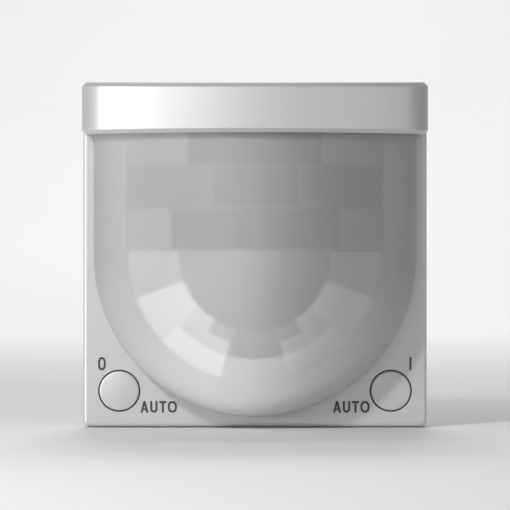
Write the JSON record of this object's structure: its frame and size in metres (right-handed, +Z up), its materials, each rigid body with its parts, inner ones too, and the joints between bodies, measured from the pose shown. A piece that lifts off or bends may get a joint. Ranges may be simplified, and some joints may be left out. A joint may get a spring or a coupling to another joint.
{
  "type": "motion detector",
  "caption": "Flush-mounted wall motion detector: square silver-grey cover, bulging milky lens under an arched hood, two round push-buttons, plug-in housing behind.",
  "frame": {"origin": "centre of the cover's rear rim, the face that lies against the mounting ring on the wall", "axes": "+X to the right seen from the room, +Z up, and the room is towards -Y: the lens points to -Y and the plug to +Y"},
  "size_m": [0.07, 0.0515, 0.0702],
  "materials": {
    "cover": "satin silver-grey lacquered plastic",
    "button": "satin silver-grey lacquered plastic, slightly crowned",
    "lens": "milky polyethylene, smooth outside",
    "housing": "fine-eroded dark thermoplastic",
    "holder": "black moulded plastic",
    "board": "green solder mask",
    "sensor_metal": "nickel-plated can",
    "filter": "dark infrared filter",
    "tinned": "tinned wire",
    "contact": "gold-flashed contact pins",
    "switch": "black switch housing",
    "plunger": "brown switch plunger",
    "spring": "bright spring steel",
    "screw": "zinc-plated steel",
    "adjuster": "blue trimmer housing",
    "rotor": "off-white rotor",
    "chip": "black chip package",
    "capacitor": "aluminium can",
    "clear": "clear epoxy",
    "lamp": "red-tinted epoxy",
    "connector": "black connector block"
  },
  "bodies": {
    "base": {"cover_plate": "cover", "hood": "cover", "lens_dome": "lens", "rear_housing": "housing", "housing_screws": "screw", "sensor_board": "board", "sensor_holder": "holder", "light_sensor": "clear", "status_light": "lamp", "main_board": "board", "control_chip": "chip", "capacitors": "capacitor", "board_link": "connector", "link_pins": "contact", "plug_body": "connector", "plug_pins": "contact", "left_switch_body": "switch", "left_sensor_can": "sensor_metal", "left_sensor_window": "filter", "left_sensor_leads": "tinned", "left_retaining_spring": "spring", "right_switch_body": "switch", "right_sensor_can": "sensor_metal", "right_sensor_window": "filter", "right_sensor_leads": "tinned", "right_retaining_spring": "spring", "lux_adjuster_body": "adjuster", "time_adjuster_body": "adjuster", "sensitivity_adjuster_body": "adjuster"},
    "left_button": {"left_button": "button", "left_switch_plunger": "plunger"},
    "right_button": {"right_button": "button", "right_switch_plunger": "plunger"},
    "lux_rotor": {"lux_adjuster_rotor": "rotor"},
    "time_rotor": {"time_adjuster_rotor": "rotor"},
    "sensitivity_rotor": {"sensitivity_adjuster_rotor": "rotor"}
  },
  "joints": [
    {"name": "left_press", "type": "slide", "parent": "base", "child": "left_button", "axis": [0, 1, 0], "range_m": [0, 0.0005], "stiffness_N_per_m": 3000},
    {"name": "right_press", "type": "slide", "parent": "base", "child": "right_button", "axis": [0, 1, 0], "range_m": [0, 0.0005], "stiffness_N_per_m": 3000},
    {"name": "lux_turn", "type": "hinge", "parent": "base", "child": "lux_rotor", "pos_m": [-0.013, 0.0109, 0.01], "axis": [0, 1, 0], "range_deg": [-135, 135]},
    {"name": "time_turn", "type": "hinge", "parent": "base", "child": "time_rotor", "pos_m": [0, 0.0109, 0.01], "axis": [0, 1, 0], "range_deg": [-135, 135]},
    {"name": "sensitivity_turn", "type": "hinge", "parent": "base", "child": "sensitivity_rotor", "pos_m": [0.013, 0.0109, 0.01], "axis": [0, 1, 0], "range_deg": [-135, 135]}
  ]
}
